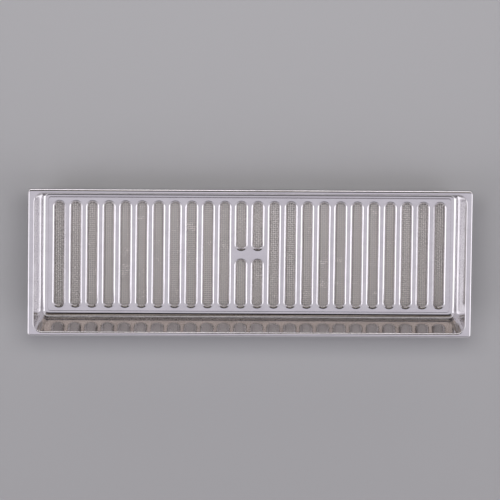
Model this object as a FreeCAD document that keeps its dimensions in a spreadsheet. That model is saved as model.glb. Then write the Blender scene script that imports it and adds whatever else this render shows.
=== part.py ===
import FreeCAD, Part
import os
import Sketcher

# A shallow rectangular baking tray of polished stainless sheet, lying flat with its mouth up.
# The drawn tray body has an open floor with a narrow ledge round it.  A panel with dished,
# round-ended slots lies on the ledge.  A wire mesh lies under the slots, and four L-shaped
# strips, tacked under the ledge, hold the edge of the mesh.
#
# +X runs along the tray, +Y across it, +Z up.  The origin is the centre of the underside.
# All lengths are in millimetres and angles in degrees.

SIZES = (
    ("rim_length", 600.0, "outside length of the rim"),
    ("rim_width", 206.0, "outside width of the rim"),
    ("tray_height", 50.0, "underside of the strips to the top of the rim"),
    ("sheet_gauge", 0.8, "thickness of the tray body's sheet"),
    ("rim_lip", 6.0, "depth of the turned-down edge of the rim"),
    ("rim_bend", 2.6, "outside radius of the rim's turned-down edge"),
    ("rim_corner", 4.6, "radius of the rim's corners in plan"),
    ("flange_ends", 8.5, "rim edge to the mouth, at the two ends"),
    ("flange_sides", 5.8, "rim edge to the mouth, at the two long sides"),
    ("mouth_corner", 12.0, "radius of the mouth's corners in plan"),
    ("mouth_bend", 1.8, "radius where the rim turns down into the wall"),
    ("wall_run_ends", 12.2, "how far the end walls lean in on their way down"),
    ("wall_run_sides", 10.0, "how far the long walls lean in on their way down"),
    ("floor_corner", 9.0, "radius of the floor's corners in plan"),
    ("floor_bend", 6.4, "inside radius where the wall turns into the ledge"),
    ("panel_setback", 7.3, "foot of the wall to the edge of the slotted panel"),
    ("ledge_overlap", 2.7, "width of panel that rests on the ledge"),
    ("ledge_corner", 3.0, "radius of the corners of the open floor"),
    ("panel_gauge", 0.8, "thickness of the slotted panel"),
    ("panel_corner", 3.5, "radius of the panel's corners"),
    ("slot_pitch", 22.36, "spacing of the slots along the tray"),
    ("slot_gap", 10.4, "clear width of a slot"),
    ("slot_end_margin", 5.0, "least plain margin at the ends of the panel"),
    ("slot_side_margin", 3.7, "plain margin along the sides of the panel"),
    ("bridge_width", 9.8, "flat bridge across the two middle slots"),
    ("dish_bend", 3.8, "top radius of a slot's dished edge"),
    ("dish_angle", 44.0, "slope of a slot's dished edge"),
    ("dish_depth", 2.95, "top of the panel to the lower edge of a slot"),
    ("dish_lap", 0.5, "length of dished edge that runs into the flat panel"),
    ("wire_size", 1.1, "diameter of the mesh wire"),
    ("wire_pitch", 2.82, "spacing of the mesh wires"),
    ("wire_slack", 0.02, "space between the two layers of wire"),
    ("mesh_slack", 0.1, "space above the mesh, under the slots"),
    ("mesh_play", 0.3, "space between the mesh and the webs of the strips"),
    ("strip_gauge", 1.0, "thickness of the mesh strips"),
    ("strip_width", 6.5, "width of a strip's foot"),
    ("strip_inset", 0.2, "edge of the ledge to the web of a strip"),
    ("strip_play", 0.1, "space between an end strip and the side strips"),
    ("tack_leg", 1.5, "leg of a tack weld"),
    ("tack_length", 8.0, "length of a tack weld"),
    ("tack_spacing", 64.0, "spacing of the tack welds along the sides"),
    ("tack_spacing_ends", 42.0, "spacing of the tack welds at the ends"),
)

doc = FreeCAD.newDocument("baguette_tray")
sheet = doc.addObject("Spreadsheet::Sheet", "Sizes")
for row, (alias, size, note) in enumerate(SIZES, start=1):
    sheet.set(f"A{row}", note)
    sheet.set(f"B{row}", str(size))
    sheet.setAlias(f"B{row}", alias)
doc.recompute()

# Sizes that follow from the sheet.  Each is an expression, so that what fits together moves
# together when a cell changes.
MOUTH_LENGTH = "(Sizes.rim_length - 2 * Sizes.flange_ends)"
MOUTH_WIDTH = "(Sizes.rim_width - 2 * Sizes.flange_sides)"
FLOOR_LENGTH = f"({MOUTH_LENGTH} - 2 * Sizes.wall_run_ends)"
FLOOR_WIDTH = f"({MOUTH_WIDTH} - 2 * Sizes.wall_run_sides)"
PANEL_LENGTH = f"({FLOOR_LENGTH} - 2 * Sizes.panel_setback)"
PANEL_WIDTH = f"({FLOOR_WIDTH} - 2 * Sizes.panel_setback)"
OPEN_LENGTH = f"({PANEL_LENGTH} - 2 * Sizes.ledge_overlap)"
OPEN_WIDTH = f"({PANEL_WIDTH} - 2 * Sizes.ledge_overlap)"

MESH_BOTTOM = "Sizes.strip_gauge"
MESH_TOP = f"({MESH_BOTTOM} + 2 * Sizes.wire_size + Sizes.wire_slack)"
PANEL_TOP = f"({MESH_TOP} + Sizes.mesh_slack + Sizes.dish_depth)"
LEDGE_TOP = f"({PANEL_TOP} - Sizes.panel_gauge)"
LEDGE_BOTTOM = f"({LEDGE_TOP} - Sizes.sheet_gauge)"
WALL_HEIGHT = f"(Sizes.tray_height - {LEDGE_TOP})"

# The dished edge of a slot: an arc from flat down to the slope, then the slope to its foot.
DISH_ARC_RUN = "Sizes.dish_bend * sin(Sizes.dish_angle)"
DISH_ARC_DROP = "Sizes.dish_bend * (1 - cos(Sizes.dish_angle))"
DISH_RUN = f"({DISH_ARC_RUN} + (Sizes.dish_depth - {DISH_ARC_DROP}) / tan(Sizes.dish_angle))"
SLOT_RADIUS = f"(Sizes.slot_gap / 2 + {DISH_RUN})"
SLOT_REACH = f"({PANEL_WIDTH} / 2 - Sizes.slot_side_margin)"

# The strips' webs stand just outside the open floor; the mesh lies between them.
WEB_LENGTH = f"({OPEN_LENGTH} + 2 * Sizes.strip_inset)"
WEB_WIDTH = f"({OPEN_WIDTH} + 2 * Sizes.strip_inset)"
MESH_LENGTH = f"({WEB_LENGTH} - 2 * Sizes.mesh_play)"
MESH_WIDTH = f"({WEB_WIDTH} - 2 * Sizes.mesh_play)"


def value(expression):
    """What an expression comes to with the sheet's present sizes."""
    return float(sheet.evalExpression(expression))


def even_count(room, pitch):
    """The largest even number of places, pitch apart, whose centres span no more than room."""
    return 2 * int((room / pitch + 1) // 2)


SLOT_COUNT = even_count(
    value(f"{PANEL_LENGTH} - 2 * Sizes.slot_end_margin - 2 * {SLOT_RADIUS}"),
    value("Sizes.slot_pitch"),
)
LONG_WIRE_COUNT = even_count(value(f"{MESH_WIDTH} - Sizes.wire_size"), value("Sizes.wire_pitch"))
CROSS_WIRE_COUNT = even_count(value(f"{MESH_LENGTH} - Sizes.wire_size"), value("Sizes.wire_pitch"))
TACK_COUNT = even_count(
    value(f"{OPEN_LENGTH} - 2 * Sizes.strip_width"), value("Sizes.tack_spacing")
)
TACK_COUNT_ENDS = even_count(
    value(f"{OPEN_WIDTH} - 2 * Sizes.strip_width"), value("Sizes.tack_spacing_ends")
)


# ---- Sketch helpers -------------------------------------------------------------------------

START = 1
END = 2
CENTRE = 3
ORIGIN = (-1, 1)
SLOT_EDGES = ("Edge1", "Edge2", "Edge3", "Edge4")

LEVEL_TOLERANCE = 1e-4   # millimetres that an edge's height may be out by
REACH_SLACK = 0.01       # millimetres added to a reach so that edges at the reach itself count
THROUGH_GAUGES = 2       # depth of a cut right through a sheet, in gauges


def origin_feature(body, role):
    return next(feature for feature in body.Origin.OriginFeatures if feature.Role == role)


def new_body(label):
    body = doc.addObject("PartDesign::Body", label)
    body.Label = label
    return body


def new_sketch(body, name, role, offset="0"):
    """An empty sketch on one of the body's origin planes, moved along that plane's normal."""
    sketch = body.newObject("Sketcher::SketchObject", name)
    sketch.AttachmentSupport = (origin_feature(body, role), [""])
    sketch.MapMode = "FlatFace"
    sketch.setExpression("AttachmentOffset.Base.z", offset)
    return sketch


def size_constraint(sketch, name, expression, kind, *places):
    """A named dimension that follows an expression."""
    index = sketch.addConstraint(Sketcher.Constraint(kind, *places, value(expression)))
    sketch.renameConstraint(index, name)
    sketch.setExpression(f"Constraints.{name}", expression)


def line(sketch, start, end):
    return sketch.addGeometry(Part.LineSegment(start, end))


def arc(sketch, centre, radius, start_angle, end_angle):
    circle = Part.Circle(centre, FreeCAD.Vector(0, 0, 1), radius)
    start = FreeCAD.Units.Quantity(start_angle, "deg").getValueAs("rad").Value
    end = FreeCAD.Units.Quantity(end_angle, "deg").getValueAs("rad").Value
    return sketch.addGeometry(Part.ArcOfCircle(circle, start, end))


def constrain(sketch, kind, *places):
    sketch.addConstraint(Sketcher.Constraint(kind, *places))


def rounded_rectangle(sketch, length, width, corner):
    """A rectangle with round corners, centred on the sketch's origin."""
    radius = value(corner)
    x = value(length) / 2
    y = value(width) / 2
    near_x = x - radius
    near_y = y - radius
    top = line(sketch, FreeCAD.Vector(-near_x, y), FreeCAD.Vector(near_x, y))
    right = line(sketch, FreeCAD.Vector(x, near_y), FreeCAD.Vector(x, -near_y))
    bottom = line(sketch, FreeCAD.Vector(near_x, -y), FreeCAD.Vector(-near_x, -y))
    left = line(sketch, FreeCAD.Vector(-x, -near_y), FreeCAD.Vector(-x, near_y))
    top_right = arc(sketch, FreeCAD.Vector(near_x, near_y), radius, 0, 90)
    bottom_right = arc(sketch, FreeCAD.Vector(near_x, -near_y), radius, -90, 0)
    bottom_left = arc(sketch, FreeCAD.Vector(-near_x, -near_y), radius, 180, 270)
    top_left = arc(sketch, FreeCAD.Vector(-near_x, near_y), radius, 90, 180)
    joints = (
        (top, END, top_right, END),
        (right, START, top_right, START),
        (right, END, bottom_right, END),
        (bottom, START, bottom_right, START),
        (bottom, END, bottom_left, END),
        (left, START, bottom_left, START),
        (left, END, top_left, END),
        (top, START, top_left, START),
    )
    for joint in joints:
        constrain(sketch, "Tangent", *joint)
    for side in (top, bottom):
        constrain(sketch, "Horizontal", side)
    for side in (left, right):
        constrain(sketch, "Vertical", side)
    for other in (bottom_right, bottom_left, top_left):
        constrain(sketch, "Equal", top_right, other)
    constrain(sketch, "Symmetric", top_right, CENTRE, bottom_left, CENTRE, *ORIGIN)
    size_constraint(sketch, "span_x", length, "DistanceX", left, START, right, START)
    size_constraint(sketch, "span_y", width, "DistanceY", bottom, START, top, START)
    size_constraint(sketch, "corner", corner, "Radius", top_right)


def round_ended_slot(sketch, radius, centre_x, low_y, high_y):
    """A slot along Y with half-round ends, given the centres of its ends."""
    r = value(radius)
    x = value(centre_x)
    low = value(low_y)
    high = value(high_y)
    right = line(sketch, FreeCAD.Vector(x + r, low), FreeCAD.Vector(x + r, high))
    left = line(sketch, FreeCAD.Vector(x - r, high), FreeCAD.Vector(x - r, low))
    high_end = arc(sketch, FreeCAD.Vector(x, high), r, 0, 180)
    low_end = arc(sketch, FreeCAD.Vector(x, low), r, 180, 360)
    constrain(sketch, "Tangent", right, END, high_end, START)
    constrain(sketch, "Tangent", high_end, END, left, START)
    constrain(sketch, "Tangent", left, END, low_end, START)
    constrain(sketch, "Tangent", low_end, END, right, START)
    constrain(sketch, "Equal", high_end, low_end)
    constrain(sketch, "Vertical", right)
    size_constraint(sketch, "radius", radius, "Radius", high_end)
    size_constraint(sketch, "centre_x", centre_x, "DistanceX", *ORIGIN, high_end, CENTRE)
    size_constraint(sketch, "high_y", high_y, "DistanceY", *ORIGIN, high_end, CENTRE)
    size_constraint(sketch, "low_y", low_y, "DistanceY", *ORIGIN, low_end, CENTRE)


# ---- Feature helpers ------------------------------------------------------------------------


def pad(body, sketch, name, length, midplane=False):
    feature = body.newObject("PartDesign::Pad", name)
    feature.Profile = sketch
    feature.Midplane = midplane
    feature.setExpression("Length", length)
    doc.recompute()
    return feature


def pocket(body, sketch, name, length, upwards=False):
    """A pocket that must remove material."""
    before = body.Shape.Volume
    feature = body.newObject("PartDesign::Pocket", name)
    feature.Profile = sketch
    feature.Reversed = upwards
    feature.setExpression("Length", length)
    doc.recompute()
    if feature.Shape.Volume >= before:
        raise ValueError(f"{name} removes nothing")
    return feature


def loft(body, kind, name, first, second):
    feature = body.newObject(f"PartDesign::{kind}", name)
    feature.Profile = first
    feature.Sections = [(second, [""])]
    feature.Ruled = True
    doc.recompute()
    return feature


def fillet(body, name, radius, chosen):
    """Round the edges of the body's last feature that the test chosen accepts."""
    base = body.Tip
    names = [f"Edge{i}" for i, edge in enumerate(base.Shape.Edges, start=1) if chosen(edge)]
    if not names:
        raise ValueError(f"{name} finds no edges")
    feature = body.newObject("PartDesign::Fillet", name)
    feature.Base = (base, names)
    feature.setExpression("Radius", radius)
    doc.recompute()
    if not feature.isValid():
        raise ValueError(f"{name} fails")
    return feature


def cut(body, name, tool):
    """Cut a tool body from the body built so far."""
    feature = body.newObject("PartDesign::Boolean", name)
    feature.Type = "Cut"
    feature.Group = [tool]
    doc.recompute()
    return feature


def level_loop(height, reach_x, reach_y):
    """A test for edges that lie at one height, no further out than the given reach."""
    z = value(height)
    x = value(reach_x)
    y = value(reach_y)

    def chosen(edge):
        box = edge.BoundBox
        level = max(abs(box.ZMin - z), abs(box.ZMax - z)) < LEVEL_TOLERANCE
        return level and box.XMax < x and box.XMin > -x and box.YMax < y and box.YMin > -y

    return chosen


def row_pattern(body, name, originals, role, pitch, count):
    """Copies of features at a constant pitch along one of the body's axes."""
    feature = body.newObject("PartDesign::LinearPattern", name)
    feature.Originals = originals
    feature.Direction = (origin_feature(body, role), [""])
    feature.Occurrences = count
    feature.setExpression("Length", f"{pitch} * {count - 1}")
    body.Tip = feature
    doc.recompute()
    return feature


# ---- Tray body ------------------------------------------------------------------------------


def wall_offset(run):
    """How much wider one side of the wall's outer face is than its inner face, at one height."""
    return f"(Sizes.sheet_gauge * sqrt(1 + ({run} / {WALL_HEIGHT}) ^ 2))"


def foot_shift(run):
    """How far the leaning wall moves in over the thickness of the ledge."""
    return f"(Sizes.sheet_gauge * {run} / {WALL_HEIGHT})"


def make_tray_inside():
    """The space inside the tray, as a solid to cut from the tray body."""
    body = new_body("tray_inside")
    mouth = new_sketch(body, "mouth_outline", "XY_Plane", "Sizes.tray_height")
    rounded_rectangle(mouth, MOUTH_LENGTH, MOUTH_WIDTH, "Sizes.mouth_corner")
    floor = new_sketch(body, "floor_outline", "XY_Plane", LEDGE_TOP)
    rounded_rectangle(floor, FLOOR_LENGTH, FLOOR_WIDTH, "Sizes.floor_corner")
    loft(body, "AdditiveLoft", "inside_loft", mouth, floor)
    fillet(
        body, "foot_inner_bend", "Sizes.floor_bend",
        level_loop(LEDGE_TOP, "Sizes.rim_length", "Sizes.rim_width"),
    )
    return body


def make_tray_body():
    """Rim, walls and ledge, drawn from one sheet."""
    body = new_body("tray_body")
    offset_ends = wall_offset("Sizes.wall_run_ends")
    offset_sides = wall_offset("Sizes.wall_run_sides")

    rim = new_sketch(body, "rim_outline", "XY_Plane", "Sizes.tray_height - Sizes.rim_lip")
    rounded_rectangle(rim, "Sizes.rim_length", "Sizes.rim_width", "Sizes.rim_corner")
    pad(body, rim, "rim_block", "Sizes.rim_lip")
    under = new_sketch(body, "rim_underside", "XY_Plane", "Sizes.tray_height - Sizes.rim_lip")
    rounded_rectangle(
        under,
        "Sizes.rim_length - 2 * Sizes.sheet_gauge",
        "Sizes.rim_width - 2 * Sizes.sheet_gauge",
        "Sizes.rim_corner - Sizes.sheet_gauge",
    )
    pocket(body, under, "rim_hollow", "Sizes.rim_lip - Sizes.sheet_gauge", upwards=True)
    fillet(
        body, "rim_inner_edge", "Sizes.rim_bend - Sizes.sheet_gauge",
        level_loop("Sizes.tray_height - Sizes.sheet_gauge", "Sizes.rim_length", "Sizes.rim_width"),
    )
    fillet(
        body, "rim_edge", "Sizes.rim_bend",
        level_loop("Sizes.tray_height", "Sizes.rim_length", "Sizes.rim_width"),
    )

    outer_top = new_sketch(body, "wall_outside_top", "XY_Plane", "Sizes.tray_height")
    rounded_rectangle(
        outer_top,
        f"{MOUTH_LENGTH} + 2 * {offset_ends}",
        f"{MOUTH_WIDTH} + 2 * {offset_sides}",
        "Sizes.mouth_corner + Sizes.sheet_gauge",
    )
    outer_foot = new_sketch(body, "wall_outside_foot", "XY_Plane", LEDGE_BOTTOM)
    rounded_rectangle(
        outer_foot,
        f"{FLOOR_LENGTH} + 2 * {offset_ends} - 2 * {foot_shift('Sizes.wall_run_ends')}",
        f"{FLOOR_WIDTH} + 2 * {offset_sides} - 2 * {foot_shift('Sizes.wall_run_sides')}",
        "Sizes.floor_corner + Sizes.sheet_gauge",
    )
    loft(body, "AdditiveLoft", "wall_outside", outer_top, outer_foot)
    fillet(
        body, "foot_outer_bend", "Sizes.floor_bend + Sizes.sheet_gauge",
        level_loop(LEDGE_BOTTOM, "Sizes.rim_length", "Sizes.rim_width"),
    )

    cut(body, "tray_hollow", make_tray_inside())

    opening = new_sketch(body, "open_floor_outline", "XY_Plane", LEDGE_TOP)
    rounded_rectangle(opening, OPEN_LENGTH, OPEN_WIDTH, "Sizes.ledge_corner")
    pocket(body, opening, "open_floor", f"{THROUGH_GAUGES} * Sizes.sheet_gauge")

    fillet(
        body, "mouth_edge", "Sizes.mouth_bend",
        level_loop(
            "Sizes.tray_height",
            f"{MOUTH_LENGTH} / 2 + {REACH_SLACK}",
            f"{MOUTH_WIDTH} / 2 + {REACH_SLACK}",
        ),
    )
    fillet(
        body, "mouth_outer_edge", "Sizes.mouth_bend - Sizes.sheet_gauge",
        level_loop(
            "Sizes.tray_height - Sizes.sheet_gauge",
            f"{MOUTH_LENGTH} / 2 + {offset_ends}",
            f"{MOUTH_WIDTH} / 2 + {offset_sides}",
        ),
    )
    return body


# ---- Slotted panel --------------------------------------------------------------------------


def dish_section(sketch, outline_x):
    """The sheet at a slot's edge: flat, then an arc down to the slope, cut level at its foot."""
    bend = value("Sizes.dish_bend")
    gauge = value("Sizes.panel_gauge")
    slope = value("Sizes.dish_angle")
    top = value(PANEL_TOP)
    x = value(outline_x)
    lap_x = x + value("Sizes.dish_lap")
    foot_z = top - value("Sizes.dish_depth")
    foot_x = x - value(DISH_RUN)
    centre = FreeCAD.Vector(x, top - bend)
    inner_foot_x = foot_x + value("Sizes.panel_gauge / sin(Sizes.dish_angle)")

    flat = line(sketch, FreeCAD.Vector(lap_x, top), FreeCAD.Vector(x, top))
    upper_arc = arc(sketch, centre, bend, 90, 90 + slope)
    lower_arc = arc(sketch, centre, bend - gauge, 90, 90 + slope)
    upper_end = sketch.getPoint(upper_arc, END)
    lower_end = sketch.getPoint(lower_arc, END)
    face = line(sketch, upper_end, FreeCAD.Vector(foot_x, foot_z))
    foot = line(sketch, FreeCAD.Vector(foot_x, foot_z), FreeCAD.Vector(inner_foot_x, foot_z))
    back = line(sketch, FreeCAD.Vector(inner_foot_x, foot_z), lower_end)
    underside = line(sketch, FreeCAD.Vector(x, top - gauge), FreeCAD.Vector(lap_x, top - gauge))
    seam = line(sketch, FreeCAD.Vector(lap_x, top - gauge), FreeCAD.Vector(lap_x, top))

    constrain(sketch, "Tangent", flat, END, upper_arc, START)
    constrain(sketch, "Tangent", upper_arc, END, face, START)
    constrain(sketch, "Coincident", face, END, foot, START)
    constrain(sketch, "Coincident", foot, END, back, START)
    constrain(sketch, "Tangent", back, END, lower_arc, END)
    constrain(sketch, "Tangent", lower_arc, START, underside, START)
    constrain(sketch, "Coincident", underside, END, seam, START)
    constrain(sketch, "Coincident", seam, END, flat, START)
    constrain(sketch, "Coincident", upper_arc, CENTRE, lower_arc, CENTRE)
    constrain(sketch, "Horizontal", flat)
    constrain(sketch, "Horizontal", foot)
    constrain(sketch, "Vertical", seam)
    constrain(sketch, "Parallel", face, back)
    size_constraint(sketch, "bend", "Sizes.dish_bend", "Radius", upper_arc)
    size_constraint(sketch, "inner_bend", "Sizes.dish_bend - Sizes.panel_gauge", "Radius", lower_arc)
    size_constraint(sketch, "outline_x", outline_x, "DistanceX", *ORIGIN, flat, END)
    size_constraint(sketch, "panel_top", PANEL_TOP, "DistanceY", *ORIGIN, flat, END)
    size_constraint(sketch, "lap", "Sizes.dish_lap", "DistanceX", flat, END, flat, START)
    size_constraint(sketch, "run", DISH_RUN, "DistanceX", face, END, flat, END)
    size_constraint(sketch, "depth", "Sizes.dish_depth", "DistanceY", face, END, flat, END)


def dished_slot(body, name, centre_x, low_y, high_y):
    """One slot, given the centres of its ends: a hole and the dished edge round it."""
    outline = new_sketch(body, f"{name}_outline", "XY_Plane", PANEL_TOP)
    round_ended_slot(outline, SLOT_RADIUS, centre_x, low_y, high_y)
    hole = pocket(body, outline, f"{name}_hole", f"{THROUGH_GAUGES} * Sizes.panel_gauge")
    path = new_sketch(body, f"{name}_path", "XY_Plane", PANEL_TOP)
    round_ended_slot(path, SLOT_RADIUS, centre_x, low_y, high_y)
    section = new_sketch(body, f"{name}_section", "XZ_Plane", f"-({low_y} + {high_y}) / 2")
    dish_section(section, f"{centre_x} + {SLOT_RADIUS}")
    doc.recompute()
    edge = body.newObject("PartDesign::AdditivePipe", f"{name}_edge")
    edge.Profile = section
    edge.Spine = (path, list(SLOT_EDGES))
    doc.recompute()
    return [hole, edge]


def make_slotted_panel():
    """The panel: a row of slots, of which the middle two are split by a flat bridge."""
    body = new_body("slotted_panel")
    plate = new_sketch(body, "panel_outline", "XY_Plane", LEDGE_TOP)
    rounded_rectangle(plate, PANEL_LENGTH, PANEL_WIDTH, "Sizes.panel_corner")
    pad(body, plate, "panel_plate", "Sizes.panel_gauge")

    far_end = f"({SLOT_REACH} - {SLOT_RADIUS})"
    near_end = f"(Sizes.bridge_width / 2 + {SLOT_RADIUS})"
    left_x = f"(-Sizes.slot_pitch * {SLOT_COUNT - 1} / 2)"
    middle_x = "(-Sizes.slot_pitch / 2)"
    right_x = "(Sizes.slot_pitch * 3 / 2)"
    side_count = SLOT_COUNT // 2 - 1
    rows = (
        ("left_slot", left_x, f"(-{far_end})", far_end, side_count),
        ("right_slot", right_x, f"(-{far_end})", far_end, side_count),
        ("back_short_slot", middle_x, near_end, far_end, 2),
        ("front_short_slot", middle_x, f"(-{far_end})", f"(-{near_end})", 2),
    )
    for name, first_x, low_y, high_y, count in rows:
        slot = dished_slot(body, name, first_x, low_y, high_y)
        row_pattern(body, f"{name}_row", slot, "X_Axis", "Sizes.slot_pitch", count)
    return body


# ---- Wire mesh ------------------------------------------------------------------------------


def make_wires(label, plane, axis, length, height, count):
    """One layer of straight parallel wires, in a row along the given axis."""
    body = new_body(label)
    section = new_sketch(body, f"{label}_section", plane)
    radius = value("Sizes.wire_size / 2")
    first = f"(-Sizes.wire_pitch * {count - 1} / 2)"
    circle = Part.Circle(
        FreeCAD.Vector(value(first), value(height)), FreeCAD.Vector(0, 0, 1), radius
    )
    wire = section.addGeometry(circle)
    size_constraint(section, "radius", "Sizes.wire_size / 2", "Radius", wire)
    size_constraint(section, "first", first, "DistanceX", *ORIGIN, wire, CENTRE)
    size_constraint(section, "height", height, "DistanceY", *ORIGIN, wire, CENTRE)
    first_wire = pad(body, section, f"{label}_first", length, midplane=True)
    row_pattern(body, f"{label}_row", [first_wire], axis, "Sizes.wire_pitch", count)
    return body


def make_long_wires():
    height = f"({MESH_BOTTOM} + Sizes.wire_size / 2)"
    return make_wires(
        "mesh_long_wires", "YZ_Plane", "Y_Axis", MESH_LENGTH, height, LONG_WIRE_COUNT
    )


def make_cross_wires():
    height = f"({MESH_TOP} - Sizes.wire_size / 2)"
    return make_wires(
        "mesh_cross_wires", "XZ_Plane", "X_Axis", MESH_WIDTH, height, CROSS_WIRE_COUNT
    )


# ---- Mesh strips ----------------------------------------------------------------------------


def make_strip(label, plane, web, length, turn):
    """An L-shaped strip: an upright web under the ledge and a foot that turns in below the mesh.

    The section is drawn on the side of the tray that the turn brings it to.
    """
    body = new_body(label)
    section = new_sketch(body, f"{label}_section", plane)
    outer = value(web) + value("Sizes.strip_gauge")
    inner = value(web)
    toe = outer - value("Sizes.strip_width")
    foot_top = value("Sizes.strip_gauge")
    top = value(LEDGE_BOTTOM)
    corners = (
        (toe, 0), (outer, 0), (outer, top), (inner, top), (inner, foot_top), (toe, foot_top),
    )
    points = [FreeCAD.Vector(*corner) for corner in corners]
    sides = [
        line(section, point, points[(i + 1) % len(points)]) for i, point in enumerate(points)
    ]
    for i, side in enumerate(sides):
        constrain(section, "Coincident", side, END, sides[(i + 1) % len(sides)], START)
        constrain(section, "Horizontal" if i % 2 == 0 else "Vertical", side)
    base, outside, _, inside, _, toe_edge = sides
    constrain(section, "PointOnObject", base, START, -1)
    size_constraint(section, "web", web, "DistanceX", *ORIGIN, inside, START)
    size_constraint(section, "gauge", "Sizes.strip_gauge", "DistanceX", inside, START, outside, END)
    size_constraint(section, "width", "Sizes.strip_width", "DistanceX", base, START, base, END)
    size_constraint(section, "height", LEDGE_BOTTOM, "DistanceY", outside, START, outside, END)
    size_constraint(section, "foot", "Sizes.strip_gauge", "DistanceY", toe_edge, END, toe_edge, START)
    pad(body, section, f"{label}_bar", length, midplane=True)
    body.Placement = FreeCAD.Placement(
        FreeCAD.Vector(0, 0, 0), FreeCAD.Rotation(FreeCAD.Vector(0, 0, 1), turn)
    )
    return body


def make_strips():
    """Side strips over the whole length, and end strips that fit between their feet."""
    side_length = f"({WEB_LENGTH} + 2 * Sizes.strip_gauge)"
    end_length = (
        f"({WEB_WIDTH} + 2 * Sizes.strip_gauge - 2 * Sizes.strip_width - 2 * Sizes.strip_play)"
    )
    return [
        make_strip("mesh_strip_back", "YZ_Plane", f"({WEB_WIDTH} / 2)", side_length, 0),
        make_strip("mesh_strip_front", "YZ_Plane", f"({WEB_WIDTH} / 2)", side_length, 180),
        make_strip("mesh_strip_right", "XZ_Plane", f"({WEB_LENGTH} / 2)", end_length, 0),
        make_strip("mesh_strip_left", "XZ_Plane", f"({WEB_LENGTH} / 2)", end_length, 180),
    ]


# ---- Tack welds -----------------------------------------------------------------------------


def tack_row(body, name, plane, offset, axis, side, web, spacing, count):
    """Welds in the corner between a web's outer face and the underside of the ledge.

    side is 1 or -1, for the strip on the positive or negative side of the tray.
    """
    section = new_sketch(body, f"{name}_section", plane, offset)
    face = side * (value(web) + value("Sizes.strip_gauge"))
    top = value(LEDGE_BOTTOM)
    leg = value("Sizes.tack_leg")
    corner = FreeCAD.Vector(face, top)
    low = FreeCAD.Vector(face, top - leg)
    far = FreeCAD.Vector(face + side * leg, top)
    upright = line(section, corner, low)
    throat = line(section, low, far)
    level = line(section, far, corner)
    constrain(section, "Coincident", upright, END, throat, START)
    constrain(section, "Coincident", throat, END, level, START)
    constrain(section, "Coincident", level, END, upright, START)
    constrain(section, "Vertical", upright)
    constrain(section, "Horizontal", level)
    face_at = f"{side} * ({web} + Sizes.strip_gauge)"
    leg_at = f"{side} * Sizes.tack_leg"
    size_constraint(section, "face", face_at, "DistanceX", *ORIGIN, upright, START)
    size_constraint(section, "top", LEDGE_BOTTOM, "DistanceY", *ORIGIN, upright, START)
    size_constraint(section, "leg", "Sizes.tack_leg", "DistanceY", upright, END, upright, START)
    size_constraint(section, "throat", leg_at, "DistanceX", level, END, level, START)
    first = pad(body, section, f"{name}_first", "Sizes.tack_length", midplane=True)
    row_pattern(body, f"{name}_row", [first], axis, spacing, count)


def make_tack_welds():
    """All the tack welds that hold the strips to the ledge."""
    body = new_body("tack_welds")
    side_offset = f"-(Sizes.tack_spacing * {TACK_COUNT - 1} / 2)"
    end_offset = f"(Sizes.tack_spacing_ends * {TACK_COUNT_ENDS - 1} / 2)"
    for side, name in ((1, "back"), (-1, "front")):
        tack_row(
            body, f"{name}_tack", "YZ_Plane", side_offset, "X_Axis", side,
            f"{WEB_WIDTH} / 2", "Sizes.tack_spacing", TACK_COUNT,
        )
    for side, name in ((1, "right"), (-1, "left")):
        tack_row(
            body, f"{name}_tack", "XZ_Plane", end_offset, "Y_Axis", side,
            f"{WEB_LENGTH} / 2", "Sizes.tack_spacing_ends", TACK_COUNT_ENDS,
        )
    return body


# ---- Build, check and write -----------------------------------------------------------------

pieces = [
    make_tray_body(),
    make_slotted_panel(),
    make_long_wires(),
    make_cross_wires(),
    *make_strips(),
    make_tack_welds(),
]
doc.recompute()

for item in doc.Objects:
    if "Invalid" in item.State or "Error" in item.State:
        raise ValueError(f"{item.Label} did not build")
for piece in pieces:
    if piece.Shape.isNull() or not piece.Shape.isValid():
        raise ValueError(f"{piece.Label} has no valid shape")

os.makedirs("parts", exist_ok=True)
for piece in pieces:
    piece.Shape.exportStep(os.path.join("parts", f"{piece.Label}.step"))
    print(piece.Label, len(piece.Shape.Solids), round(piece.Shape.Volume))
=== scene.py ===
import math

import bpy
from mathutils import Matrix, Vector
from mathutils.geometry import delaunay_2d_cdt


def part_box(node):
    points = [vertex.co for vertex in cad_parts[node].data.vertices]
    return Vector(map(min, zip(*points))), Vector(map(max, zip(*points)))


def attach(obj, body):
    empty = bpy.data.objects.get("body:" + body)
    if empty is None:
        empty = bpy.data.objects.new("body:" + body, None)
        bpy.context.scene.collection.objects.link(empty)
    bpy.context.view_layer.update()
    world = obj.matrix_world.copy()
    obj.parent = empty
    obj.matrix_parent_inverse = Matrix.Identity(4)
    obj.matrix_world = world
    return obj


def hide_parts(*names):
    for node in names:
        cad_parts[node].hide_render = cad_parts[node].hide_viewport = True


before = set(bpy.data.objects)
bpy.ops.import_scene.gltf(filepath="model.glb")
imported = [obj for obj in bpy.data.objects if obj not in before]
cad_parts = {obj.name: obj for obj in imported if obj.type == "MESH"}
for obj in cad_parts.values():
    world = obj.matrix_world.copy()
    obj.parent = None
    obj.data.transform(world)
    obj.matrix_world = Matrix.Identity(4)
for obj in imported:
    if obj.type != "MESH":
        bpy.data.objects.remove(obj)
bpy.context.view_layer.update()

# ---- Sizes, in metres and degrees ------------------------------------------------------------
# The outside of each piece comes from the frame.  The values below are the bends and gauges
# inside those boxes.

rim_low, rim_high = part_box("tray_body")
panel_low, panel_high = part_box("slotted_panel")
long_low, long_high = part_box("mesh_long_wires")
cross_low, cross_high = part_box("mesh_cross_wires")

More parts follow.
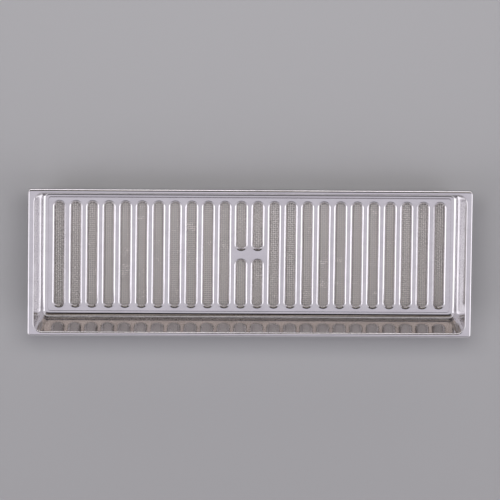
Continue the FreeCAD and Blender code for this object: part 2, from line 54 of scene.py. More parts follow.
RIM_HALF = (rim_high.x, rim_high.y)
RIM_TOP = rim_high.z
LEDGE_BOTTOM = rim_low.z
SHEET = 0.0008
LEDGE_TOP = LEDGE_BOTTOM + SHEET
RIM_LIP = 0.006
RIM_BEND = 0.0026
RIM_CORNER = 0.0046
MOUTH_HALF = (RIM_HALF[0] - 0.0085, RIM_HALF[1] - 0.0058)
MOUTH_CORNER = 0.012
MOUTH_BEND = 0.0018
FLOOR_HALF = (MOUTH_HALF[0] - 0.0122, MOUTH_HALF[1] - 0.010)
FLOOR_CORNER = 0.009
FLOOR_BEND = 0.0064
LEDGE_OVERLAP = 0.0027
LEDGE_CORNER = 0.003

PANEL_HALF = (panel_high.x, panel_high.y)
PANEL_TOP = panel_high.z
PANEL_GAUGE = 0.0008
PANEL_CORNER = 0.0035
PANEL_EDGE_ROUND = 0.0002
SLOT_COUNT = 24
SLOT_PITCH = 0.02236
SLOT_HALF_GAP = 0.0052
SLOT_SIDE_MARGIN = 0.0037
BRIDGE_WIDTH = 0.0098
DISH_BEND = 0.0038
DISH_ANGLE = 44.0
DISH_DEPTH = PANEL_TOP - panel_low.z

WIRE_RADIUS = 0.00055
WIRE_PITCH = 0.00282
MESH_MIDDLE = (long_low.z + cross_high.z) / 2

STRIP_GAUGE = 0.001
STRIP_BEND = 0.0014

TACK_LEG = 0.0015
TACK_LENGTH = 0.008
TACK_COUNT = 8           # tacks along each side
TACK_SPACING = 0.064
TACK_COUNT_ENDS = 4      # tacks along each end
TACK_SPACING_ENDS = 0.042

SUPPORT = 0.0004         # width of the narrow faces that keep flat faces flat beside a bend
ARC_STEPS = 10           # steps in a bend
CORNER_STEPS = 14        # steps in a quarter-round corner in plan
WALL_SHARES = (0.02, 0.98)   # where the flat wall gets a ring of its own near each bend
SHEET_CREASE = 55.0      # edges steeper than this stay sharp
STRIP_CREASE = 50.0
WELD_CREASE = 60.0

# ---- Mesh helpers ----------------------------------------------------------------------------


def rounded_rectangle(half_x, half_y, radius):
    """Points anticlockwise round a rectangle with round corners, centred on the origin."""
    points = []
    for turn, (side_x, side_y) in enumerate(((1, 1), (-1, 1), (-1, -1), (1, -1))):
        centre_x = side_x * (half_x - radius)
        centre_y = side_y * (half_y - radius)
        for step in range(CORNER_STEPS + 1):
            angle = math.radians(90 * (turn + step / CORNER_STEPS))
            points.append((centre_x + radius * math.cos(angle), centre_y + radius * math.sin(angle)))
    return points


def round_ended_slot(centre_x, low_y, high_y, radius):
    """Points anticlockwise round a slot along Y with half-round ends."""
    points = []
    steps = 2 * CORNER_STEPS
    for centre_y, start in ((high_y, 0), (low_y, 180)):
        for step in range(steps + 1):
            angle = math.radians(start + 180 * step / steps)
            points.append((centre_x + radius * math.cos(angle), centre_y + radius * math.sin(angle)))
    return points


def ring_faces(first, second, count):
    """Quads between two rings of count vertices, given the index of each ring's first vertex."""
    return [
        (first + i, first + (i + 1) % count, second + (i + 1) % count, second + i)
        for i in range(count)
    ]


def new_piece(name, vertices, faces, material, slot, *nodes):
    """A smooth-shaded piece on the root body that stands for the given CAD nodes."""
    mesh = bpy.data.meshes.new(name)
    mesh.from_pydata(vertices, [], faces)
    mesh.validate()
    mesh.materials.append(material)
    mesh.shade_smooth()
    piece = bpy.data.objects.new(name, mesh)
    bpy.context.scene.collection.objects.link(piece)
    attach(piece, "root")
    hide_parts(*nodes)
    return piece


# ---- Materials -------------------------------------------------------------------------------


class NodeTree:
    """A short way to build a material or world from nodes."""

    def __init__(self, tree):
        self.tree = tree
        self.tree.nodes.clear()

    def add(self, kind, inputs=None, **settings):
        node = self.tree.nodes.new(kind)
        for key, setting in settings.items():
            setattr(node, key, setting)
        for key, source in (inputs or {}).items():
            if isinstance(source, bpy.types.NodeSocket):
                self.tree.links.new(source, node.inputs[key])
            else:
                node.inputs[key].default_value = source
        return node

    def math(self, operation, first, second=0.0, third=0.0):
        inputs = {0: first, 1: second, 2: third}
        return self.add("ShaderNodeMath", inputs, operation=operation).outputs[0]

    def remap(self, source, from_low, from_high, to_low=0.0, to_high=1.0, smooth=False):
        node = self.add(
            "ShaderNodeMapRange",
            {"Value": source, 1: from_low, 2: from_high, 3: to_low, 4: to_high},
            interpolation_type="SMOOTHSTEP" if smooth else "LINEAR",
        )
        return node.outputs[0]


SMEAR_SCALE = (28.0, 45.0, 45.0)     # slow changes of gloss along the tray
WAVE_SCALE = (22.0, 30.0, 30.0)      # slight waviness of the sheet
SHEET_GRAIN = (60.0, 2600.0, 2600.0)
WIRE_GRAIN = (900.0, 900.0, 900.0)
STRIP_GRAIN = (120.0, 1800.0, 1800.0)
WELD_GRAIN = (1500.0, 1500.0, 1500.0)
SMEAR_SHARE = 0.6                    # share of the gloss that the smears set
SMEAR_SHADE = 0.94                   # how far a smear darkens the metal


def stretched_noise(nodes, position, scale, detail):
    """Noise whose grain is stretched by a different scale along each axis."""
    stretched = nodes.add("ShaderNodeVectorMath", {0: position, 1: scale}, operation="MULTIPLY")
    noise = nodes.add(
        "ShaderNodeTexNoise",
        {"Vector": stretched.outputs[0], "Scale": 1.0, "Detail": detail, "Roughness": 0.6},
    )
    return noise.outputs["Fac"]


def steel(name, colour, rough_low, rough_high, grain, grain_depth, wave_depth, metallic=1.0):
    """Stainless steel: fine rolling grain, slow smears in the gloss and a slight waviness.

    A metallic share below 1 makes the surface scatter part of its light.
    """
    material = bpy.data.materials.new(name)
    material.use_nodes = True
    nodes = NodeTree(material.node_tree)
    position = nodes.add("ShaderNodeTexCoord").outputs["Object"]
    smear = stretched_noise(nodes, position, SMEAR_SCALE, 4.0)
    fine = stretched_noise(nodes, position, grain, 3.0)
    wave = stretched_noise(nodes, position, WAVE_SCALE, 1.0)
    smeared = nodes.math("MULTIPLY", smear, SMEAR_SHARE)
    grained = nodes.math("MULTIPLY", fine, 1 - SMEAR_SHARE)
    gloss = nodes.math("ADD", smeared, grained)
    roughness = nodes.remap(gloss, 0.3, 0.7, rough_low, rough_high)
    ripples = nodes.add(
        "ShaderNodeBump", {"Strength": 1.0, "Distance": wave_depth, "Height": wave}
    )
    scratches = nodes.add(
        "ShaderNodeBump",
        {"Strength": 1.0, "Distance": grain_depth, "Height": fine, "Normal": ripples.outputs[0]},
    )
    darker = [SMEAR_SHADE * channel for channel in colour[:3]] + [1.0]
    shade = nodes.add(
        "ShaderNodeMixRGB", {0: nodes.remap(smear, 0.35, 0.65), 1: colour, 2: darker}
    )
    shader = nodes.add(
        "ShaderNodeBsdfPrincipled",
        {
            "Base Color": shade.outputs[0],
            "Metallic": metallic,
            "Roughness": roughness,
            "Normal": scratches.outputs[0],
        },
    )
    nodes.add("ShaderNodeOutputMaterial", {"Surface": shader.outputs[0]})
    return material


polished = steel(
    "polished_sheet", (0.80, 0.785, 0.80, 1.0), 0.10, 0.17, SHEET_GRAIN, 2e-6, 1.2e-5
)
panel_finish = steel(
    "panel_sheet", (0.80, 0.785, 0.80, 1.0), 0.11, 0.18, SHEET_GRAIN, 2e-6, 1.2e-5
)
wire_finish = steel(
    "drawn_wire", (0.95, 0.90, 0.87, 1.0), 0.20, 0.30, WIRE_GRAIN, 3e-6, 1e-6, metallic=0.44
)
strip_finish = steel(
    "mill_strip", (0.66, 0.655, 0.66, 1.0), 0.30, 0.42, STRIP_GRAIN, 4e-6, 4e-6
)
weld_finish = steel(
    "weld_metal", (0.47, 0.44, 0.41, 1.0), 0.35, 0.60, WELD_GRAIN, 2e-5, 1e-6
)

# ---- Tray body -------------------------------------------------------------------------------


def wall_rings(start, end):
    """Rings on the flat wall, close to the ring that it starts from and the one that it meets."""
    return [tuple(a + (b - a) * share for a, b in zip(start, end)) for share in WALL_SHARES]


def tray_section():
    """The tray's section, from the outside of the rim's lip round and back to its inside.

    Each entry is (half length, half width, corner radius, height) of one ring.
    """
    wall_height = RIM_TOP - LEDGE_TOP
    lean = [math.atan((MOUTH_HALF[i] - FLOOR_HALF[i]) / wall_height) for i in (0, 1)]
    turn = [math.pi / 2 - angle for angle in lean]
    mouth_tangent = [MOUTH_BEND * math.tan(angle / 2) for angle in turn]
    floor_tangent = [FLOOR_BEND * math.tan(angle / 2) for angle in turn]
    bend_half = [half - RIM_BEND for half in RIM_HALF]
    bend_height = RIM_TOP - RIM_BEND
    mouth_centre = [MOUTH_HALF[i] + mouth_tangent[i] for i in (0, 1)]
    floor_centre = [FLOOR_HALF[i] - floor_tangent[i] for i in (0, 1)]
    floor_flat_corner = FLOOR_CORNER - sum(floor_tangent) / 2
    mouth_flat_corner = MOUTH_CORNER + sum(mouth_tangent) / 2

    def rim_arc(radius, steps):
        """The rim's edge, from upright (0) to level (1)."""
        for step in steps:
            angle = math.pi / 2 * step / ARC_STEPS
            out = radius * math.cos(angle)
            corner = RIM_CORNER - RIM_BEND + out
            yield (bend_half[0] + out, bend_half[1] + out, corner, bend_height + radius * math.sin(angle))

    def mouth_arc(radius, steps):
        """The turn from the level rim (0) into the wall (1)."""
        for step in steps:
            share = step / ARC_STEPS
            out = [-radius * math.sin(turn[i] * share) for i in (0, 1)]
            drop = [radius * math.cos(turn[i] * share) for i in (0, 1)]
            corner = mouth_flat_corner + sum(out) / 2
            yield (
                mouth_centre[0] + out[0],
                mouth_centre[1] + out[1],
                corner,
                RIM_TOP - MOUTH_BEND + sum(drop) / 2,
            )

    def floor_arc(radius, steps):
        """The turn from the wall (0) into the level ledge (1)."""
        for step in steps:
            share = 1 - step / ARC_STEPS
            out = [radius * math.sin(turn[i] * share) for i in (0, 1)]
            drop = [radius * math.cos(turn[i] * share) for i in (0, 1)]
            corner = floor_flat_corner + sum(out) / 2
            yield (
                floor_centre[0] + out[0],
                floor_centre[1] + out[1],
                corner,
                LEDGE_TOP + FLOOR_BEND - sum(drop) / 2,
            )

    forward = range(ARC_STEPS + 1)
    backward = range(ARC_STEPS, -1, -1)
    round_off = SHEET / 4
    lip_foot = RIM_TOP - RIM_LIP
    x, y = RIM_HALF
    rings = [(x, y, RIM_CORNER, lip_foot + round_off), (x, y, RIM_CORNER, bend_height - SUPPORT)]
    rings += rim_arc(RIM_BEND, forward)
    rings.append((
        bend_half[0] - SUPPORT, bend_half[1] - SUPPORT, RIM_CORNER - RIM_BEND + SUPPORT, RIM_TOP
    ))
    rings.append((
        mouth_centre[0] + SUPPORT / 2, mouth_centre[1] + SUPPORT / 2, mouth_flat_corner, RIM_TOP
    ))
    mouth_rings = list(mouth_arc(MOUTH_BEND, forward))
    floor_rings = list(floor_arc(FLOOR_BEND, forward))
    rings += mouth_rings
    rings += wall_rings(mouth_rings[-1], floor_rings[0])
    rings += floor_rings
    rings.append((
        floor_centre[0] - SUPPORT, floor_centre[1] - SUPPORT, floor_flat_corner, LEDGE_TOP
    ))
    open_half = [PANEL_HALF[i] - LEDGE_OVERLAP for i in (0, 1)]
    rings.append((open_half[0] + round_off, open_half[1] + round_off, LEDGE_CORNER, LEDGE_TOP))
    rings.append((open_half[0], open_half[1], LEDGE_CORNER, LEDGE_TOP - round_off))
    rings.append((open_half[0], open_half[1], LEDGE_CORNER, LEDGE_BOTTOM + round_off))
    rings.append((open_half[0] + round_off, open_half[1] + round_off, LEDGE_CORNER, LEDGE_BOTTOM))
    rings.append((
        floor_centre[0] - SUPPORT, floor_centre[1] - SUPPORT, floor_flat_corner, LEDGE_BOTTOM
    ))
    outer_floor = list(floor_arc(FLOOR_BEND + SHEET, backward))
    outer_mouth = list(mouth_arc(MOUTH_BEND - SHEET, backward))
    rings += outer_floor
    rings += wall_rings(outer_floor[-1], outer_mouth[0])
    rings += outer_mouth
    rings.append((
        bend_half[0] - SUPPORT, bend_half[1] - SUPPORT, RIM_CORNER - RIM_BEND + SUPPORT,
        RIM_TOP - SHEET,
    ))
    rings += rim_arc(RIM_BEND - SHEET, backward)
    rings.append((x - SHEET, y - SHEET, RIM_CORNER - SHEET, lip_foot + round_off))
    for share in (0.75, 0.25):
        inset = SHEET * share
        rings.append((x - inset, y - inset, RIM_CORNER - inset, lip_foot))
    return rings


def make_tray_body():
    """The rim, walls and ledge as one closed sheet."""
    rings = tray_section()
    vertices = []
    for half_x, half_y, corner, height in rings:
        vertices += [(px, py, height) for px, py in rounded_rectangle(half_x, half_y, corner)]
    count = len(vertices) // len(rings)
    faces = []
    for i in range(len(rings)):
        faces += ring_faces(i * count, (i + 1) % len(rings) * count, count)
    return new_piece("tray_body_sheet", vertices, faces, polished, "tray_sheet", "tray_body")


# ---- Slotted panel ---------------------------------------------------------------------------


def slot_places():
    """(centre x, low end centre y, high end centre y) of every slot, and the dish's run."""
    arc_run = DISH_BEND * math.sin(math.radians(DISH_ANGLE))
    arc_drop = DISH_BEND * (1 - math.cos(math.radians(DISH_ANGLE)))
    run = arc_run + (DISH_DEPTH - arc_drop) / math.tan(math.radians(DISH_ANGLE))
    outline = SLOT_HALF_GAP + run
    far_end = PANEL_HALF[1] - SLOT_SIDE_MARGIN - outline
    near_end = BRIDGE_WIDTH / 2 + outline
    places = []
    for column in range(SLOT_COUNT):
        x = (column - (SLOT_COUNT - 1) / 2) * SLOT_PITCH
        if abs(x) < SLOT_PITCH:
            places.append((x, near_end, far_end))
            places.append((x, -far_end, -near_end))
        else:
            places.append((x, -far_end, far_end))
    return places, run


def dish_profile(run):
    """(distance out from the clear gap, height) along a slot's dished edge, top side first."""
    slope = math.radians(DISH_ANGLE)

    def arc(radius, steps):
        for step in steps:
            angle = slope * step / ARC_STEPS
            yield run - radius * math.sin(angle), PANEL_TOP - DISH_BEND + radius * math.cos(angle)

    foot = PANEL_TOP - DISH_DEPTH
    back = PANEL_GAUGE / math.sin(slope)
    soft = PANEL_GAUGE / 6
    profile = [(run + SUPPORT, PANEL_TOP)]
    profile += arc(DISH_BEND, range(ARC_STEPS + 1))
    end_run, end_height = profile[-1]
    profile.append((end_run * 0.92, end_height - end_run * 0.08 * math.tan(slope)))
    profile.append((soft / math.tan(slope), foot + soft))
    profile.append((soft, foot))
    profile.append((back - soft, foot))
    profile.append((back + soft, foot + soft * math.tan(slope)))
    profile += arc(DISH_BEND - PANEL_GAUGE, range(ARC_STEPS, -1, -1))
    profile.append((run + SUPPORT, PANEL_TOP - PANEL_GAUGE))
    return profile


def make_slotted_panel():
    """The floor panel: dished slots, a softened border and the two flat faces between."""
    places, run = slot_places()
    profile = dish_profile(run)
    vertices = []
    faces = []
    top_loops = []
    under_loops = []

    for x, low_y, high_y in places:
        base = len(vertices)
        for out, height in profile:
            outline = round_ended_slot(x, low_y, high_y, SLOT_HALF_GAP + out)
            vertices += [(px, py, height) for px, py in outline]
        count = (len(vertices) - base) // len(profile)
        for i in range(len(profile) - 1):
            faces += ring_faces(base + i * count, base + (i + 1) * count, count)
        top_loops.append(list(range(base, base + count)))
        last = base + (len(profile) - 1) * count
        under_loops.append(list(range(last, last + count)))

    half_x, half_y = PANEL_HALF
    soft = PANEL_EDGE_ROUND
    under = PANEL_TOP - PANEL_GAUGE
    border = (
        (SUPPORT, PANEL_TOP),
        (soft, PANEL_TOP),
        (soft * 0.3, PANEL_TOP - soft * 0.3),
        (0.0, PANEL_TOP - soft),
        (0.0, under + soft),
        (soft * 0.3, under + soft * 0.3),
        (soft, under),
        (SUPPORT, under),
    )
    base = len(vertices)
    for inset, height in border:
        outline = rounded_rectangle(half_x - inset, half_y - inset, PANEL_CORNER - inset)
        vertices += [(px, py, height) for px, py in outline]
    count = (len(vertices) - base) // len(border)
    for i in range(len(border) - 1):
        faces += ring_faces(base + (i + 1) * count, base + i * count, count)
    top_loops.append(list(range(base, base + count)))
    last = base + (len(border) - 1) * count
    under_loops.append(list(range(last, last + count)))

    for loops, upwards in ((top_loops, True), (under_loops, False)):
        faces += flat_fill(vertices, loops, upwards)
    return new_piece(
        "slotted_panel_sheet", vertices, faces, panel_finish, "panel_sheet", "slotted_panel"
    )


def flat_fill(vertices, loops, upwards):
    """Triangles between an outer loop, given last, and the holes in it."""
    flat_index = [index for loop in loops for index in loop]
    points = [Vector(vertices[index][:2]) for index in flat_index]
    edges = []
    start = 0
    for loop in loops:
        edges += [(start + i, start + (i + 1) % len(loop)) for i in range(len(loop))]
        start += len(loop)
    holes = loops[:-1]
    found = delaunay_2d_cdt(points, edges, [], 1, 1e-9)
    new_points, triangles, sources = found[0], found[2], found[3]
    hole_of = {}
    start = 0
    for number, loop in enumerate(holes):
        for i in range(len(loop)):
            hole_of[start + i] = number
        start += len(loop)
    faces = []
    for triangle in triangles:
        corners = [sources[corner][0] for corner in triangle]
        same_hole = {hole_of.get(corner) for corner in corners}
        if len(same_hole) == 1 and None not in same_hole:
            continue
        area = sum(
            new_points[triangle[i]].x * new_points[triangle[(i + 1) % 3]].y
            - new_points[triangle[(i + 1) % 3]].x * new_points[triangle[i]].y
            for i in range(3)
        )
        if (area > 0) != upwards:
            corners.reverse()
        faces.append(tuple(flat_index[corner] for corner in corners))
    return faces


# ---- Wire mesh -------------------------------------------------------------------------------

WIRE_SIDES = 6
CROSSING_FLAT = 0.22     # share of the pitch that a wire runs level to each side of a crossing


def count_along(low, high):
    """How many wires, and the first one's place, between the outsides of a layer."""
    count = round((high - low - 2 * WIRE_RADIUS) / WIRE_PITCH) + 1
    return count, (low + high) / 2 - (count - 1) * WIRE_PITCH / 2


def woven_layer(name, axis, low_end, high_end, offsets, crossings, parity, node):
    """Wires along one axis, each passing over and under the wires that cross it."""
    across = 1 - axis
    vertices = []
    faces = []
    for number, offset in enumerate(offsets):
        path = [(low_end, 0.0)]
        for step, crossing in enumerate(crossings):
            side = 1 if (number + step + parity) % 2 == 0 else -1
            for shift in (-CROSSING_FLAT, CROSSING_FLAT):
                path.append((crossing + shift * WIRE_PITCH, side * WIRE_RADIUS))
        path.append((high_end, 0.0))
        base = len(vertices)
        for place, (along, lift) in enumerate(path):
            before = path[max(place - 1, 0)]
            after = path[min(place + 1, len(path) - 1)]
            slope = math.atan2(after[1] - before[1], after[0] - before[0])
            for corner in range(WIRE_SIDES):
                angle = 2 * math.pi * (corner + 0.5) / WIRE_SIDES
                sideways = WIRE_RADIUS * math.cos(angle)
                up = WIRE_RADIUS * math.sin(angle)
                point = [0.0, 0.0, MESH_MIDDLE + lift + up * math.cos(slope)]
                point[axis] = along - up * math.sin(slope)
                point[across] = offset + sideways
                vertices.append(tuple(point))
        for place in range(len(path) - 1):
            first = base + place * WIRE_SIDES
            faces += ring_faces(first, first + WIRE_SIDES, WIRE_SIDES)
        faces.append(tuple(range(base, base + WIRE_SIDES)))
        last = base + (len(path) - 1) * WIRE_SIDES
        faces.append(tuple(range(last + WIRE_SIDES - 1, last - 1, -1)))
    return new_piece(name, vertices, faces, wire_finish, "mesh_wire", node)


def make_wire_mesh():
    """Both layers of wire, each in two pieces so that no piece is too heavy."""
    long_count, long_first = count_along(long_low.y, long_high.y)
    cross_count, cross_first = count_along(cross_low.x, cross_high.x)
    long_places = [long_first + i * WIRE_PITCH for i in range(long_count)]
    cross_places = [cross_first + i * WIRE_PITCH for i in range(cross_count)]
    half = cross_count // 2
    cross_ends = (cross_low.y, cross_high.y)
    long_ends = (long_low.x, long_high.x)
    woven_layer(
        "mesh_cross_wires_left", 1, *cross_ends, cross_places[:half], long_places, 0,
        "mesh_cross_wires",
    )
    woven_layer(
        "mesh_cross_wires_right", 1, *cross_ends, cross_places[half:], long_places, half,
        "mesh_cross_wires",
    )
    half = long_count // 2
    woven_layer(
        "mesh_long_wires_front", 0, *long_ends, long_places[:half], cross_places, 1,
        "mesh_long_wires",
    )
    woven_layer(
        "mesh_long_wires_back", 0, *long_ends, long_places[half:], cross_places, half + 1,
        "mesh_long_wires",
    )


# ---- Mesh strips -----------------------------------------------------------------------------


def strip_profile(depth, height):
    """An L section: (in from the web's outer face, up) round its outline."""
    steps = ARC_STEPS // 2
    soft = STRIP_GAUGE / 5
    points = [(depth - soft, 0.0)]
    for step in range(steps + 1):
        angle = math.pi / 2 * step / steps
        points.append((
            STRIP_BEND - STRIP_BEND * math.sin(angle), STRIP_BEND - STRIP_BEND * math.cos(angle)
        ))
    points += [(0.0, height - soft), (soft, height), (STRIP_GAUGE - soft, height)]
    points.append((STRIP_GAUGE, height - soft))
    inner = STRIP_BEND - STRIP_GAUGE
    for step in range(steps + 1):
        angle = math.pi / 2 * (1 - step / steps)
        points.append((
            STRIP_BEND - inner * math.sin(angle), STRIP_BEND - inner * math.cos(angle)
        ))
    points += [(depth - soft, STRIP_GAUGE), (depth, STRIP_GAUGE - soft), (depth, soft)]
    return points


def make_strip(node):
    """The strip fills its CAD node's box, with a rolled bend and broken edges."""
    low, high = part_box(node)
    along = 0 if high.x - low.x > high.y - low.y else 1
    across = 1 - along
    outward = 1 if low[across] + high[across] > 0 else -1
    web_face = high[across] if outward > 0 else low[across]
    profile = strip_profile(high[across] - low[across], high.z - low.z)
    vertices = []
    for end in (low[along], high[along]):
        for inward, up in profile:
            point = [0.0, 0.0, low.z + up]
            point[along] = end
            point[across] = web_face - outward * inward
            vertices.append(tuple(point))
    count = len(profile)
    faces = ring_faces(0, count, count)
    faces.append(tuple(range(count - 1, -1, -1)))
    faces.append(tuple(range(count, 2 * count)))
    strip = new_piece(f"{node}_bar", vertices, faces, strip_finish, "strip_sheet", node)
    sharp_edges(strip, STRIP_CREASE)
    return strip


def sharp_edges(piece, angle):
    """Keep edges steeper than angle sharp, and put every face the right way out."""
    bpy.context.view_layer.objects.active = piece
    piece.select_set(True)
    bpy.ops.object.mode_set(mode="EDIT")
    bpy.ops.mesh.select_all(action="SELECT")
    bpy.ops.mesh.normals_make_consistent(inside=False)
    bpy.ops.object.mode_set(mode="OBJECT")
    bpy.ops.object.shade_smooth_by_angle(angle=math.radians(angle))
    piece.select_set(False)


# ---- Tack welds ------------------------------------------------------------------------------


BEAD_RIPPLES = 7
BEAD_RIPPLE_DEPTH = 0.10     # share of the leg
BEAD_TAPER = 0.35            # power of the sine that rounds a bead's ends
BEAD_BLUNT = 0.04            # share of the length at each end where the taper stops
BEAD_HOLLOW = 0.22           # how far the face sinks between its two legs, as a share


def tack_bead(centre, along, outward):
    """One bead in the corner under the ledge, with the ripples that a weld leaves."""
    stations = 22
    arc_points = 8
    vertices = []
    for station in range(stations + 1):
        share = station / stations
        ripple = 1 - BEAD_RIPPLE_DEPTH * math.sin(share * math.pi * BEAD_RIPPLES) ** 2
        blunted = min(max(share, BEAD_BLUNT), 1 - BEAD_BLUNT)
        end_taper = math.sin(math.pi * blunted) ** BEAD_TAPER
        leg = TACK_LEG * ripple * end_taper
        place = (share - 0.5) * TACK_LENGTH
        corner = [centre[0], centre[1], centre[2]]
        corner[along] += place
        vertices.append(tuple(corner))
        for step in range(arc_points + 1):
            angle = math.pi / 2 * step / arc_points
            bulge = 1 - BEAD_HOLLOW + BEAD_HOLLOW * abs(math.cos(2 * angle))
            point = list(corner)
            point[1 - along] += outward * leg * bulge * math.cos(angle)
            point[2] -= leg * bulge * math.sin(angle)
            vertices.append(tuple(point))
    ring = arc_points + 2
    faces = []
    for station in range(stations):
        faces += ring_faces(station * ring, (station + 1) * ring, ring)
    faces.append(tuple(range(ring - 1, -1, -1)))
    faces.append(tuple(range(stations * ring, (stations + 1) * ring)))
    return vertices, faces


def make_tack_welds():
    """Every bead, in one piece."""
    tack_low, tack_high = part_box("tack_welds")
    rows = (
        (0, 1, TACK_COUNT, TACK_SPACING, tack_high.y - TACK_LEG),
        (0, -1, TACK_COUNT, TACK_SPACING, tack_low.y + TACK_LEG),
        (1, 1, TACK_COUNT_ENDS, TACK_SPACING_ENDS, tack_high.x - TACK_LEG),
        (1, -1, TACK_COUNT_ENDS, TACK_SPACING_ENDS, tack_low.x + TACK_LEG),
    )
    vertices = []
    faces = []
    for along, outward, count, spacing, face_at in rows:
        for number in range(count):
            centre = [0.0, 0.0, LEDGE_BOTTOM]
            centre[along] = (number - (count - 1) / 2) * spacing
            centre[1 - along] = face_at
            bead_vertices, bead_faces = tack_bead(centre, along, outward)
            base = len(vertices)
            vertices += bead_vertices
            faces += [tuple(base + corner for corner in face) for face in bead_faces]
    beads = new_piece("tack_weld_beads", vertices, faces, weld_finish, "weld_metal", "tack_welds")
    sharp_edges(beads, WELD_CREASE)
    return beads


tray_body = make_tray_body()
sharp_edges(tray_body, SHEET_CREASE)
slotted_panel = make_slotted_panel()
sharp_edges(slotted_panel, SHEET_CREASE)
make_wire_mesh()
for strip_node in ("mesh_strip_back", "mesh_strip_front", "mesh_strip_left", "mesh_strip_right"):
    make_strip(strip_node)
make_tack_welds()

# ---- Floor, light and camera -----------------------------------------------------------------


FLOOR_PAPER_HALF = 40.0
FLOOR_GREY = (0.42, 0.42, 0.43, 1.0)


def make_floor():
    """A plain pale floor under the tray."""
    half = FLOOR_PAPER_HALF
    mesh = bpy.data.meshes.new("floor")
    corners = [(-half, -half, 0.0), (half, -half, 0.0), (half, half, 0.0), (-half, half, 0.0)]
    mesh.from_pydata(corners, [], [(0, 1, 2, 3)])
    floor = bpy.data.objects.new("floor", mesh)
    bpy.context.scene.collection.objects.link(floor)
    material = bpy.data.materials.new("floor_paper")
    material.use_nodes = True
    nodes = NodeTree(material.node_tree)
    shader = nodes.add(
        "ShaderNodeBsdfPrincipled",
        {"Base Color": FLOOR_GREY, "Roughness": 0.85, "Specular IOR Level": 0.1},
    )
    nodes.add("ShaderNodeOutputMaterial", {"Surface": shader.outputs[0]})
    mesh.materials.append(material)


# The studio round the tray, by direction.  Angles are from the zenith towards +Y, in degrees.
STUDIO = (
    # angle, brightness, (red, green, blue)
    (-110.0, 0.06, (1.0, 1.0, 1.0)),
    (-84.0, 0.72, (1.0, 0.97, 1.02)),
    (-62.0, 0.74, (1.0, 0.97, 1.03)),
    (-53.0, 0.14, (1.0, 0.96, 1.03)),
    (-32.0, 0.10, (1.0, 0.96, 1.04)),
    (-22.0, 0.66, (0.99, 0.95, 1.05)),
    (-8.0, 0.66, (0.99, 0.95, 1.05)),
    (1.0, 0.02, (1.0, 0.9, 0.9)),
    (34.0, 0.012, (1.0, 0.9, 0.9)),
    (39.0, 0.62, (1.0, 0.86, 0.78)),
    (44.5, 0.68, (1.0, 0.87, 0.79)),
    (47.0, 0.015, (1.0, 0.9, 0.9)),
    (66.0, 0.02, (1.0, 0.9, 0.85)),
    (70.0, 0.95, (1.0, 0.95, 0.88)),
    (78.0, 0.95, (1.0, 0.95, 0.90)),
    (80.0, 4.00, (1.0, 0.97, 0.98)),
    (92.0, 4.00, (1.0, 0.97, 0.98)),
    (125.0, 0.30, (1.0, 1.0, 1.0)),
)
CORNER_SHEET = (0.64, 0.615, 0.655, 1.0)         # diagonally to each side, past the dark gap
SIDE_BOX = (1.75, 1.72, 1.80, 1.0)               # the bright panel at each end of the tray

# The edges below are parts of a direction's unit vector: x sideways, y towards +Y.
GAP_HALF = 0.24                  # half width of the middle bands, straight up
GAP_SPREAD = 0.78                # how much wider they get towards +Y
GAP_SOFT_EDGE = (-0.05, 0.06)
BOX_INNER_EDGE = (0.50, 0.62)
BOX_OUTER_EDGE = (0.95, 0.88)
BOX_BACK_EDGE = (0.04, -0.08)
BOX_FRONT_EDGE = (-0.66, -0.56)


def make_studio():
    """Soft panels by direction.

    There is a bright panel at each end of the tray and a lilac-grey sheet nearly overhead.  Towards
    +Y there are a warm strip, dark gaps on both sides of it and a bright horizon.
    """
    world = bpy.data.worlds.new("studio")
    bpy.context.scene.world = world
    world.use_nodes = True
    nodes = NodeTree(world.node_tree)
    direction = nodes.add("ShaderNodeTexCoord").outputs["Generated"]
    x, y, z = nodes.add("ShaderNodeSeparateXYZ", {0: direction}).outputs
    low, high = STUDIO[0][0], STUDIO[-1][0]
    peak = max(brightness for _, brightness, _ in STUDIO)
    angle = nodes.math("ARCTAN2", y, z)
    place = nodes.remap(angle, math.radians(low), math.radians(high))
    ramp = nodes.add("ShaderNodeValToRGB", {0: place})
    elements = ramp.color_ramp.elements
    while len(elements) < len(STUDIO):
        elements.new(0.5)
    for element, (degrees, brightness, colour) in zip(elements, STUDIO):
        element.position = (degrees - low) / (high - low)
        element.color = [brightness / peak * channel for channel in colour] + [1.0]
    middle = nodes.add(
        "ShaderNodeVectorMath", {0: ramp.outputs[0], 1: (peak, peak, peak)}, operation="MULTIPLY"
    )
    sideways = nodes.math("ABSOLUTE", x)
    widening = nodes.math("MULTIPLY", nodes.math("MAXIMUM", y, 0.0), GAP_SPREAD)
    gap_edge = nodes.math("ADD", widening, GAP_HALF)
    past_gap = nodes.math("SUBTRACT", sideways, gap_edge)
    corner_share = nodes.remap(past_gap, *GAP_SOFT_EDGE, smooth=True)
    with_corners = nodes.add(
        "ShaderNodeMixRGB", {0: corner_share, 1: middle.outputs[0], 2: CORNER_SHEET}
    )
    box_share = nodes.remap(sideways, *BOX_INNER_EDGE, smooth=True)
    for source, edge in ((sideways, BOX_OUTER_EDGE), (y, BOX_BACK_EDGE), (y, BOX_FRONT_EDGE)):
        edge_share = nodes.remap(source, *edge, smooth=True)
        box_share = nodes.math("MULTIPLY", box_share, edge_share)
    light = nodes.add(
        "ShaderNodeMixRGB", {0: box_share, 1: with_corners.outputs[0], 2: SIDE_BOX}
    )
    background = nodes.add("ShaderNodeBackground", {"Color": light.outputs[0], "Strength": 1.0})
    nodes.add("ShaderNodeOutputWorld", {"Surface": background.outputs[0]})


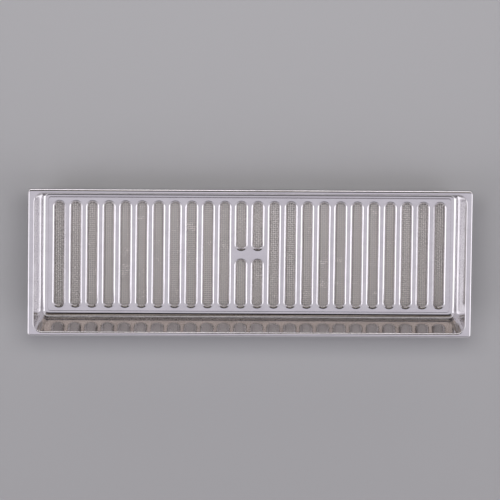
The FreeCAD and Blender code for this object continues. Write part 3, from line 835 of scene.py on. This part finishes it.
KEY_PLACE = (0.0, 0.9, 1.7)
KEY_SIZE = (1.6, 0.8)
KEY_WATTS = 14.0


def make_key_light():
    """A soft light from behind the tray.  Only matt surfaces show it: nothing mirrors it."""
    data = bpy.data.lights.new("key", "AREA")
    data.shape = "RECTANGLE"
    data.size, data.size_y = KEY_SIZE
    data.energy = KEY_WATTS
    key = bpy.data.objects.new("key", data)
    key.location = KEY_PLACE
    key.rotation_euler = (-Vector(KEY_PLACE)).to_track_quat("-Z", "Y").to_euler()
    key.visible_glossy = False
    key.visible_camera = False
    bpy.context.scene.collection.objects.link(key)


CAMERA_TILT = 16.15      # degrees from straight down, towards +Y
CAMERA_TURN = 1.33       # degrees towards -X
CAMERA_ROLL = 0.3        # degrees
CAMERA_LENS = 860.0      # millimetres on a 36 mm sensor
TRAY_SHARE = 0.8894      # share of the picture's width that the tray takes up
AIM_ABOVE_RIM = 0.0187   # how far up the picture from the rim's centre the camera aims


def make_camera():
    """A very long lens that looks down into the tray from its +Y side, with +Y up."""
    data = bpy.data.cameras.new("camera")
    data.lens = CAMERA_LENS
    camera = bpy.data.objects.new("camera", data)
    bpy.context.scene.collection.objects.link(camera)
    bpy.context.scene.camera = camera
    tilt = math.radians(CAMERA_TILT)
    back = Vector((0.0, math.sin(tilt), math.cos(tilt)))
    up = Vector((0.0, math.cos(tilt), -math.sin(tilt)))
    back = Matrix.Rotation(math.radians(-CAMERA_TURN), 3, up) @ back
    right = up.cross(back)
    picture_width = 2 * RIM_HALF[0] / TRAY_SHARE
    distance = picture_width * CAMERA_LENS / data.sensor_width
    aim = Vector((0.0, 0.0, RIM_TOP)) + up * AIM_ABOVE_RIM
    turn = Matrix((right, up, back)).transposed()
    roll = Matrix.Rotation(math.radians(CAMERA_ROLL), 3, "Z")
    camera.matrix_world = Matrix.Translation(aim + back * distance) @ (turn @ roll).to_4x4()
    data.clip_start = 1.0
    data.clip_end = 2 * distance


make_floor()
make_studio()
make_key_light()
make_camera()
bpy.context.scene.view_settings.view_transform = "Standard"
